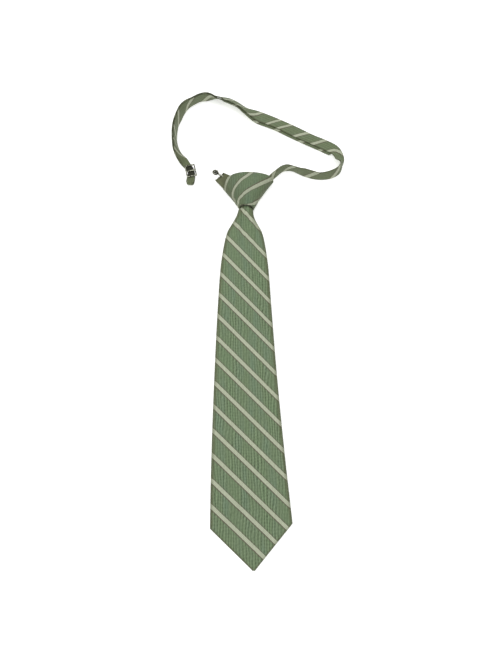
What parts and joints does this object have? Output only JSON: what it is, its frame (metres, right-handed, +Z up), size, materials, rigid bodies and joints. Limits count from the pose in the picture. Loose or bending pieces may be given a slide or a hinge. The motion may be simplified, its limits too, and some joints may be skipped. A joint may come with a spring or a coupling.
{
  "type": "pre-tied necktie",
  "caption": "Child's ready-tied striped necktie with a fixed knot, a wire hook at one side of it and an adjustable neck strap with a slider and end loop, unfastened, face up",
  "frame": {"origin": "under the middle of the whole tie, on the surface that it lies on", "axes": "+Y from the blade's point up through the knot to the top of the neck strap, +Z up out of the front of the tie, +X towards the side where the strap leaves the knot"},
  "size_m": [0.1676, 0.4396, 0.0149],
  "materials": {
    "tie_cloth": "matte ribbed weave, sage green with cream diagonal stripes",
    "strap_cloth": "matte ribbed weave, sage green with cream diagonal stripes, olive rolled edges",
    "metal": "bright plated"
  },
  "bodies": {
    "root": {"blade": "tie_cloth", "knot_wrap": "tie_cloth", "knot_shoulder": "tie_cloth", "neck_strap": "strap_cloth", "slider": "metal", "hook": "metal"}
  },
  "joints": []
}
